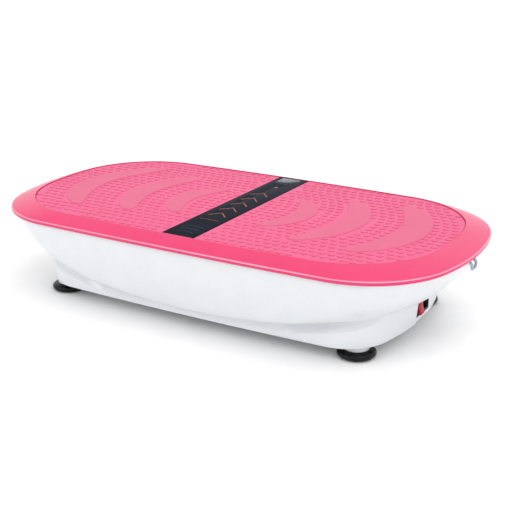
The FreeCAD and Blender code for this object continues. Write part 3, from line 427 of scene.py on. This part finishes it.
def cover_skin():
    """Pink top cover: rounded skirt with a painted highlight along its lip, crowned shoulder, ring and
    recess for the mats.
    """
    rings = [MAT.ring(MAT_FLOOR - ROOF_THICK, 3.2), RIM.ring(SKIRT_Z + 2.6, 2.6)]
    highlight_face = (len(rings) + HIGHLIGHT_START) * len(COLUMNS)
    rings += [RIM.ring(SKIRT_Z + rise, inset) for inset, rise in SKIRT]
    low, high = rings[-1], MAT.ring(DECK_TOP - 0.35, -2.3)
    for k in range(1, SHOULDER_STEPS):
        share = k / SHOULDER_STEPS
        lift = share + SHOULDER_CROWN * share * (1 - share)
        rings.append([raised(a.lerp(b, share), a.z + (b.z - a.z) * lift) for a, b in zip(low, high)])
    rings.append(high)
    rings += [MAT.ring(DECK_TOP + rise, inset) for inset, rise in MAT_EDGE]
    rings.append(MAT.ring(MAT_FLOOR, -GROOVE))
    form = bmesh.new()
    made = add_rings(form, rings)
    # these skirt rings get the painted highlight
    for face in made[highlight_face:highlight_face + HIGHLIGHT_RINGS * len(COLUMNS)]:
        face.material_index = 1
    finishes = [FINISHES["pink_cover"], LIP_PAINTED_HIGHLIGHT]
    cover = make_piece(form, "cover_skin", "deck", finishes, ("deck_cover",))
    window_low, window_high = node_box("lcd_window")
    room = Vector((2, 2, CUT_REACH))
    carve(cover, [block(window_low - room, window_high + room), hole_cutter(middle("ir_lens"), 2.4)])


SWOOSHES = {
    # middle x, middle y, bow, lean, half length, half width; the left mat's are given before its half turn
    "right": ((248, 4, 44, -4, 103, 20.5), (166, 0, 39.5, -1.5, 95, 17.5), (95, 0, 30, -2, 66, 15)),
    "left": ((247, 0, 48, 0, 106, 19.5), (156, 1, 34, 0, 92, 18), (85, 6, 27, 2, 66, 15)),
}


def swoosh_centre(swoosh, t):
    mid_x, mid_y, bow, lean, half_length, _ = swoosh
    return Vector((mid_x - bow * t * t + lean * t, mid_y + half_length * t))


def swoosh_half_width(swoosh, t):
    *_, half_width = swoosh
    return half_width * max(1 - abs(t) ** 4, 0) ** 0.4


def swoosh_outline(swoosh, steps=56):
    """Points once round a curved plateau with rounded ends, and the outward normal at each."""
    stations = [math.sin(math.pi * (i / steps - 0.5)) for i in range(1, steps)]
    side = [swoosh_centre(swoosh, t) + Vector((swoosh_half_width(swoosh, t), 0)) for t in stations]
    back = [swoosh_centre(swoosh, t) - Vector((swoosh_half_width(swoosh, t), 0)) for t in stations]
    loop = [swoosh_centre(swoosh, -1)] + side + [swoosh_centre(swoosh, 1)] + back[::-1]
    normals = []
    for i, point in enumerate(loop):
        along = (loop[(i + 1) % len(loop)] - loop[i - 1]).normalized()
        normals.append(Vector((along.y, -along.x)))
    return loop, normals


def add_swoosh(form, swoosh, turn):
    """A smooth raised plateau; turn is 1 on the right mat and -1 on the left one."""
    loop, normals = swoosh_outline(swoosh)
    base = MAT_TOP - 0.4
    section = ((0.35, base), (0.3, MAT_TOP + 0.05), (0.0, MAT_TOP + 0.4), (-0.4, DECK_TOP - 0.1),
               (-1.1, DECK_TOP), (-3.0, DECK_TOP))
    rings = []
    for out, z in section:
        rings.append([raised((point + normal * out) * turn, z) for point, normal in zip(loop, normals)])
    add_rings(form, rings, finish=1, ladder=True)


def in_swoosh(swooshes, point, margin):
    """Whether a point of a mat lies on a plateau, or within margin of one."""
    for swoosh in swooshes:
        _, mid_y, _, _, half_length, _ = swoosh
        t = (point.y - mid_y) / (half_length + margin)
        if abs(t) < 1:
            aside = abs(point.x - swoosh_centre(swoosh, t).x)
            if aside < swoosh_half_width(swoosh, t) + margin:
                return True
    return False


INNER_EDGE = -mats_high.x  # the right mat's edge beside the display strip
COLUMN_PITCH = 12.5
ROW_PITCH = 12.0
COLUMN_PHASE = 222.0      # where one of the columns crosses the plate's middle line
COLUMNS_AROUND = (-18, 12)
COLUMN_BOW = 36.0
BOW_REACH = 97.0
RIDGE_BORDER = 4.2        # free stretch between the ridges' centres and the mat's edge
STRIP_BORDER = 5.5        # the same beside the display strip
SWOOSH_BORDER = 2.0       # the same round a plateau
RIDGE_RADIUS = 4.5
RIDGE_SPREAD = math.radians(84)
RIDGE_STEPS = 8
RIDGE_HIGH = 0.75
RIDGE_ROOT = -0.1         # a ridge's foot goes this far into the mat
RELIEF_ANGLE = 50
MAT_INSET = 0.45
PAST_MAT = 400.0          # a station beyond the end of any mat


def column_bow(y):
    """How far the columns of ridges bend inwards at y; the bend flattens out past the plateaus' ends."""
    s = abs(y) / BOW_REACH
    return COLUMN_BOW * (s * s if s < 1 else 1 + 2 * (s - 1) - 1.8 * (s - 1) ** 2)


def ridge_places(swooshes):
    """Centres of the small ridges on a mat, before the left mat's half turn."""
    rows = int(mats_high.y / ROW_PITCH) + 1
    places = []
    for row in range(-rows, rows + 1):
        y = row * ROW_PITCH
        for step in range(*COLUMNS_AROUND):
            u = COLUMN_PHASE + COLUMN_PITCH * step
            place = Vector((u - column_bow(y), y))
            if place.x - STRIP_BORDER < INNER_EDGE or in_swoosh(swooshes, place, SWOOSH_BORDER):
                continue
            start = Vector((min(place.x, SPINE), 0))
            away = place - start
            way = away.normalized() if away.length > 0 else Vector((1, 0))
            if (MAT.reach(start, way, RIDGE_BORDER) - start).length > away.length:
                places.append(place)
    return places


def add_ridge(form, centre):
    """One crescent-shaped ridge, open towards the back, tapered at both tips, with painted shade on its
    outer slope.
    """
    rings = []
    for k in range(RIDGE_STEPS + 1):
        share = 2 * k / RIDGE_STEPS - 1
        turn = -math.pi / 2 + RIDGE_SPREAD * share
        out = Vector((math.cos(turn), math.sin(turn)))
        size = 0.45 + 0.55 * (1 - share * share)
        point = centre + Vector((0, RIDGE_RADIUS * 0.55)) + out * RIDGE_RADIUS
        crest = RIDGE_HIGH * size
        section = ((1.05, RIDGE_ROOT), (0.4, crest), (-0.5, crest), (-1.15, RIDGE_ROOT))
        rings.append([raised(point + out * wide * size, MAT_TOP + high) for wide, high in section])
    made = add_rings(form, rings)
    # the outer slope's faces get the painted shade
    for face in made[0:len(section) * RIDGE_STEPS:len(section)]:
        face.material_index = 2


def deck_slab(inset, floor, top, west, east):
    """The mats' outline between two stations along X, as a closed slab."""
    form = bmesh.new()
    add_rings(form, [MAT.ring(floor, inset), MAT.ring(top, inset)])
    for station, side in ((west, -1), (east, 1)):
        everything = form.verts[:] + form.edges[:] + form.faces[:]
        bmesh.ops.bisect_plane(form, geom=everything, plane_co=(station * MM, 0, 0), plane_no=(side, 0, 0),
                               clear_outer=True)
        bmesh.ops.holes_fill(form, edges=[edge for edge in form.edges if edge.is_boundary])
    return form


def foot_mats():
    """Two moulded mats with crescent ridges round smooth plateaus; the left one is turned half round."""
    for end, turn in (("right", 1), ("left", -1)):
        west, east = sorted((turn * INNER_EDGE, turn * PAST_MAT))
        form = deck_slab(MAT_INSET, MAT_FLOOR, MAT_TOP, west, east)
        finishes = [FINISHES["pink_mat"], SWOOSH_FINISH, RIDGE_PAINTED_SHADE]
        mat = make_piece(form, f"foot_mat_{end}", "deck", finishes, (f"mat_{end}",))
        bevel(mat, 0.5)
        form = bmesh.new()
        form.from_mesh(mat.data)
        for swoosh in SWOOSHES[end]:
            add_swoosh(form, swoosh, turn)
        for place in ridge_places(SWOOSHES[end]):
            add_ridge(form, place * turn)
        bmesh.ops.recalc_face_normals(form, faces=form.faces)
        form.to_mesh(mat.data)
        form.free()
        mat.data.shade_smooth()
        mat.data.set_sharp_from_angle(angle=math.radians(RELIEF_ANGLE))


def ribbon(form, points, width, low, high):
    """A flat printed line along points."""
    rings = []
    for i, point in enumerate(points):
        ahead = points[min(i + 1, len(points) - 1)] - points[max(i - 1, 0)]
        aside = Vector((-ahead.y, ahead.x)).normalized() * width / 2
        rings.append([raised(point + aside * s, z)
                      for s, z in ((-1, low), (1, low), (1, high), (-1, high))])
    add_rings(form, rings)


def display_strip():
    """Slate strip between the mats, with openings for the screen and the remote control lens."""
    low, high = node_box("display_strip")
    form = deck_slab(0.4, MAT_FLOOR, PRINT_Z, low.x, high.x)
    finishes = [FINISHES["strip_slate"]]
    strip = make_piece(form, "strip_panel", "deck", finishes, ("display_strip",))
    window_low, window_high = node_box("lcd_window")
    room = Vector((0, 0, CUT_REACH))
    carve(strip, [block(window_low - room, window_high + room), hole_cutter(middle("ir_lens"), 3.0)])
    bevel(strip, 0.35)


CHEVRONS = 5
CHEVRON_TIP = 62.0        # the first chevron's tip, and the step to the next
CHEVRON_PITCH = 27.0
CHEVRON_HALF = 13.0
CHEVRON_DEPTH = 14
CROSS_LINE = -78.0
ARC_CENTRE = -152
ARC_RADII = (24.0, 38.0, 52.0)
ARC_STEPS = 24


def strip_print():
    """Generic line work: a row of chevrons along the strip, a cross line, and arcs at the near end."""
    form = bmesh.new()
    low, high = PRINT_Z - 0.02, PRINT_Z + 0.04
    across = (-CHEVRON_HALF, -CHEVRON_HALF / 2, 0, CHEVRON_HALF / 2, CHEVRON_HALF)
    for i in range(CHEVRONS):
        tip = CHEVRON_TIP - CHEVRON_PITCH * i
        chevron = [Vector((x, tip - CHEVRON_DEPTH * abs(x) / CHEVRON_HALF)) for x in across]
        ribbon(form, chevron, 1.5, low, high)
    ribbon(form, [Vector((x, CROSS_LINE)) for x in (-15, 0, 15)], 0.7, low, high)
    make_piece(form, "strip_print", "deck", [PRINT_FINISH])
    form = bmesh.new()
    for radius in ARC_RADII:
        arc = []
        for i in range(ARC_STEPS + 1):
            turn = math.radians(-34 + 68 * i / ARC_STEPS) * ARC_RADII[0] / radius
            arc.append(Vector((radius * math.sin(turn), ARC_CENTRE + radius * math.cos(turn) * 0.8)))
        ribbon(form, arc, 0.9, low, high)
    make_piece(form, "strip_arcs", "deck", [FAINT_FINISH])


BEZEL_HIGH = 0.3
BEZEL_BORDER = (2.0, 1.6)  # how wide the bezel is at the sides and at the ends


def screen():
    """Bezel and glass of the small display, over the CAD's display module."""
    low, high = node_box("lcd_window")
    centre = (low + high) / 2
    half = (high - low) / 2
    outer = Vector((half.x - 0.1, half.y - 0.1))
    shown = Vector((half.x - BEZEL_BORDER[0], half.y - BEZEL_BORDER[1]))
    floor = node_box("lcd_module")[1].z
    corners = ((-1, -1), (1, -1), (1, 1), (-1, 1))
    rings = []
    for size, up in ((outer, 0.0), (outer, BEZEL_HIGH), (shown, BEZEL_HIGH), (shown, 0.0)):
        rings.append([raised(centre.xy + Vector((x * size.x, y * size.y)), floor + up) for x, y in corners])
    form = bmesh.new()
    add_rings(form, rings, looped=True)
    make_piece(form, "screen_bezel", "deck", [BEZEL_FINISH])
    form = block((low.x + 0.05, low.y + 0.05, floor + BEZEL_HIGH + 0.05),
                 (high.x - 0.05, high.y - 0.05, PRINT_Z + 0.05))
    finishes = [FINISHES["screen_glass"]]
    pane = make_piece(form, "screen_pane", "deck", finishes, ("lcd_window",))
    bevel(pane, 0.3)


def remote_lens():
    """Domed red lens of the remote control receiver."""
    centre = middle("ir_lens")
    centre.z = 0
    form = bmesh.new()
    turned(form, centre, ((2.2, DECK_TOP - 4), (2.2, PRINT_Z - 1.2), (2.85, PRINT_Z - 1.2),
                          (2.85, PRINT_Z - 0.25), (2.6, PRINT_Z - 0.05), (1.8, PRINT_Z + 0.06),
                          (0.6, PRINT_Z + 0.1)))
    make_piece(form, "remote_lens", "deck", [FINISHES["lens_red"]], ("ir_lens",))


# ---- the tub ----

# height, length and width of the bowl at four levels
BOWL_LEVELS = ((28.0, 472.0, 282.0), (56.0, 560.0, 303.0), (84.0, 622.0, 321.0), (114.9, 661.2, 335.2))
CREASE_LOW = 29.0
CREASE_RISE = 31.0
CREASE_REACH = 225.0
CREASE_END = 26.5
LIFT_START = 235.0
LIFT_REACH = 12.0
LIFT_HIGH = 13.0
CREASE_DROP = 5.0      # from the crease down to where the pedestal's wall is straight
COVE_DROP = 13.0       # how much further down that is along the sides
COVE_DEPTH = 11.0      # how far the cove under the crease goes in behind the pedestal's outline
COVE_END = 285.0       # where along the plate the cove has faded out, and over what stretch
COVE_FADE = 85.0
COVE_LOW = 22          # crease height at which the cove has no depth yet
COVE_SLOPE = 0.45      # depth gained per millimetre of crease height above that
BEND_PULL = 2.2        # how much further than the cove its curve's corner lies
BOWL_STEPS = 10        # levels down the bowl
BEND_SHARES = (0.2, 0.4, 0.6, 0.8, 1)
PEDESTAL_BASE = (529, 266.6)
PEDESTAL_GAIN = (12, 6.4)
PEDESTAL_HIGH = 59
FOOT_EDGE_Z = tub_low.z
WALL = 3.0
RECESS_X = node_box("inlet_housing")[1].x - 2.4
RECESS_SIDES = (-12.0, 70.0)
RECESS_TOP = 57.0
RECESS_BACKING = 13.0  # how far above the recess the thicker wall behind it goes on
RECESS_MARGIN = 6      # the same beside it
FLANGE_LAP = 0.8       # how far the inlet's flange laps over its opening


def through_levels(z, item):
    """The smooth curve through the bowl's four levels, for its length (1) or width (2)."""
    total = 0.0
    for level in BOWL_LEVELS:
        share = 1.0
        for other in BOWL_LEVELS:
            if other is not level:
                share *= (z - other[0]) / (level[0] - other[0])
        total += share * level[item]
    return total


def bowl(z):
    return Oval(through_levels(z, 1), through_levels(z, 2), 325, 8550, 117)


def pedestal(z):
    """The pedestal's outline, which widens a little towards its top."""
    share = (z - FOOT_EDGE_Z) / PEDESTAL_HIGH
    length, width = (base + gain * share for base, gain in zip(PEDESTAL_BASE, PEDESTAL_GAIN))
    return Oval(length, width, 345, 5200, 61)


def lesser(first, second, softness):
    """The smaller of two numbers, with a rounded turn where they cross."""
    return (first + second - math.hypot(first - second, softness)) / 2


def crease_height(x):
    """Height of the bowl's lower edge: an arch that levels out at the ends and lifts over the inlet."""
    arch = lesser(CREASE_RISE * (x / CREASE_REACH) ** 2, CREASE_END, 5)
    climb = (max(x - LIFT_START, 0) / LIFT_REACH) ** 2
    lift = lesser(climb, LIFT_HIGH, 4) - lesser(0, LIFT_HIGH, 4)
    return CREASE_LOW + arch + lift


def crease_at(start, way, inset=0.0):
    """Height at which one column of the bowl meets the crease."""
    z = 45.0
    for _ in range(12):
        z = (z + crease_height(bowl(z).reach(start, way, inset).x)) / 2
    return z


def bend(first, corner, last, share):
    """A point of the smooth curve from first to last that heads for corner."""
    return first.lerp(corner, share).lerp(corner.lerp(last, share), share)


def cove_share(x):
    """How much of the cove there is at x: all of it along the sides, none at the ends."""
    share = min(max((COVE_END - abs(x)) / COVE_FADE, 0), 1)
    return share * share * (3 - 2 * share)


def tub_column(start, way, inset):
    """Points down one column of the tub: bowl, crease, fillet and pedestal."""
    def at(outline, z, more=0.0):
        return raised(outline.reach(start, way, inset + more), z)

    crease = crease_at(start, way, inset) + inset
    top = tub_high.z
    points = [at(bowl(top), top, 1.0), at(bowl(top), top - 0.25, 0.25), at(bowl(top), top - 1.0)]
    for k in range(1, BOWL_STEPS + 1):
        z = top - 1.0 + (crease + 1.4 - top + 1.0) * k / BOWL_STEPS
        points.append(at(bowl(z), z))
    points.append(at(bowl(crease), crease + 0.35, 0.1))
    edge = at(bowl(crease), crease, 0.5)
    points.append(edge)
    cove = cove_share(edge.x)
    foot_z = max(crease - CREASE_DROP - COVE_DROP * cove, FOOT_EDGE_Z + 2.0)
    depth = BEND_PULL * min(COVE_SLOPE * (crease - COVE_LOW), COVE_DEPTH) * cove
    corner = at(pedestal(crease), crease + 1.5, depth)
    wall = at(pedestal(foot_z), foot_z)
    points += [bend(edge, corner, wall, share) for share in BEND_SHARES]
    for share in (0.5, 1):
        z = foot_z + (FOOT_EDGE_Z + 1.2 - foot_z) * share
        points.append(at(pedestal(z), z))
    foot = pedestal(FOOT_EDGE_Z)
    points += [at(foot, FOOT_EDGE_Z + 0.3, 0.3), at(foot, FOOT_EDGE_Z, 1.0)]
    return points


def thickened(point):
    """Moves a point of the inner skin back where the inlet recess needs a wall behind it."""
    low, high = RECESS_SIDES
    beside = low - RECESS_MARGIN < point.y < high + RECESS_MARGIN
    if beside and point.z < RECESS_TOP + RECESS_BACKING:
        point.x = min(point.x, RECESS_X - WALL)
    return point


def tub_skin():
    """White tub in one wall, with a flat recess in its end wall for the power inlet."""
    outside = [tub_column(start, way, 0.0) for start, way in COLUMNS]
    inside = [[thickened(point) for point in tub_column(start, way, WALL)] for start, way in COLUMNS]
    rings = [list(row) for row in zip(*outside)] + [list(row) for row in zip(*inside)][::-1]
    form = bmesh.new()
    add_rings(form, rings, looped=True)
    tub = make_piece(form, "tub_skin", "base", [FINISHES["white_shell"]], ("tub_shell",))
    low, high = node_box("inlet_housing")
    rim = Vector((0, FLANGE_LAP, FLANGE_LAP))
    near, far = RECESS_SIDES
    carve(tub, [block((RECESS_X, near, 0), (RECESS_X + 60, far, RECESS_TOP)), block(low + rim, high - rim)])


# ---- feet ----

# radius and height, from under the cup round its lip and up to the collar
FOOT_PROFILE = ((4.0, 2.6), (11.5, 2.3), (14.6, 0.5), (15.6, 0.0), (17.9, 0.0), (18.8, 0.15), (20.8, 0.75),
                (22.7, 1.8), (24.0, 3.2), (24.5, 4.6), (24.4, 5.9), (23.7, 7.3), (22.3, 8.5), (20.3, 9.4),
                (18.2, 10.0), (16.9, 10.3), (16.3, 10.4))


def feet():
    """Black suction feet under white collars."""
    for name in ("front_left", "front_right", "rear_left", "rear_right"):
        centre = middle(f"foot_{name}")
        centre.z = 0
        form = bmesh.new()
        turned(form, centre, FOOT_PROFILE, steps=96)
        make_piece(form, f"suction_foot_{name}", "base", [FINISHES["foot_rubber"]],
                   (f"foot_{name}",))
        form = bmesh.new()
        turned(form, centre, ((15.4, 10.5), (15.8, 10.7), (16.0, 11.2), (16.0, FOOT_EDGE_Z)), steps=96)
        stands_for = ("foot_collars",) if name == "front_left" else ()
        make_piece(form, f"collar_{name}", "base", [FINISHES["collar_white"]], stands_for)


# ---- electrics on the end wall ----

def end_fittings():
    """Power inlet and rocker with softened edges."""
    black, red = FINISHES["black_plastic"], FINISHES["rocker_red"]
    softened("inlet_housing", "inlet_body", [black], 0.5)
    softened("rocker_switch", "rocker", [red], 0.4)


# ---- what stays from the CAD ----

def finish_frame():
    """Gives every CAD node that still shows its own finish."""
    for node in frame["nodes"].values():
        for holder in node.material_slots:
            holder.material = FINISHES[holder.material.name]


# ---- studio ----

WORLD_LIGHT = 0.98
SUNS = (
    # name, energy, angle across in degrees, the way it shines
    ("key", 0.95, 60, (-0.35, 0.08, -0.93)),
    ("glint", 0.2, 10, (0.4865, 0.66, -0.581)),
)


def studio():
    """White floor and world, a broad key light from above the right end, and a small one for the lip."""
    form = bmesh.new()
    bmesh.ops.create_grid(form, x_segments=8, y_segments=8, size=40)
    mesh = bpy.data.meshes.new("floor")
    form.to_mesh(mesh)
    form.free()
    floor = bpy.data.objects.new("floor", mesh)
    bpy.context.scene.collection.objects.link(floor)
    mesh.materials.append(surface("floor", (248, 248, 248), (246, 246, 246), (0.8, 0.9), 300, 0.01,
                                  shine=0.1))
    world = bpy.data.worlds.new("studio")
    world.use_nodes = True
    backdrop = world.node_tree.nodes["Background"]
    backdrop.inputs["Color"].default_value = (1, 1, 1, 1)
    backdrop.inputs["Strength"].default_value = WORLD_LIGHT
    bpy.context.scene.world = world
    for name, energy, across, way in SUNS:
        light = bpy.data.lights.new(name, "SUN")
        light.energy = energy
        light.angle = math.radians(across)
        lamp = bpy.data.objects.new(name, light)
        lamp.rotation_mode = "QUATERNION"
        lamp.rotation_quaternion = Vector(way).to_track_quat("-Z", "Y")
        bpy.context.scene.collection.objects.link(lamp)


AZIMUTH, ELEVATION, ROLL = math.radians(31.07), math.radians(19.478), math.radians(-0.3985)
DISTANCE = 1.499       # metres, like the target
TARGET = Vector((-0.0198, 0.0657, 0.0376))
FOCAL_LENGTH = 73.55


def camera():
    """Looks at the plate's long front side from the right and above, with plain colours."""
    back = Vector((math.sin(AZIMUTH) * math.cos(ELEVATION), -math.cos(AZIMUTH) * math.cos(ELEVATION),
                   math.sin(ELEVATION)))
    lens = bpy.data.cameras.new("camera")
    lens.sensor_width = 36
    lens.lens = FOCAL_LENGTH
    holder = bpy.data.objects.new("camera", lens)
    holder.location = TARGET + back * DISTANCE
    holder.rotation_mode = "QUATERNION"
    holder.rotation_quaternion = (-back).to_track_quat("-Z", "Y") @ Quaternion((0, 0, 1), ROLL)
    bpy.context.scene.collection.objects.link(holder)
    bpy.context.scene.camera = holder
    bpy.context.scene.view_settings.view_transform = "Standard"


for build in (camera, studio, finish_frame, cover_skin, foot_mats, display_strip, strip_print, screen,
              remote_lens, tub_skin, feet, end_fittings):
    build()
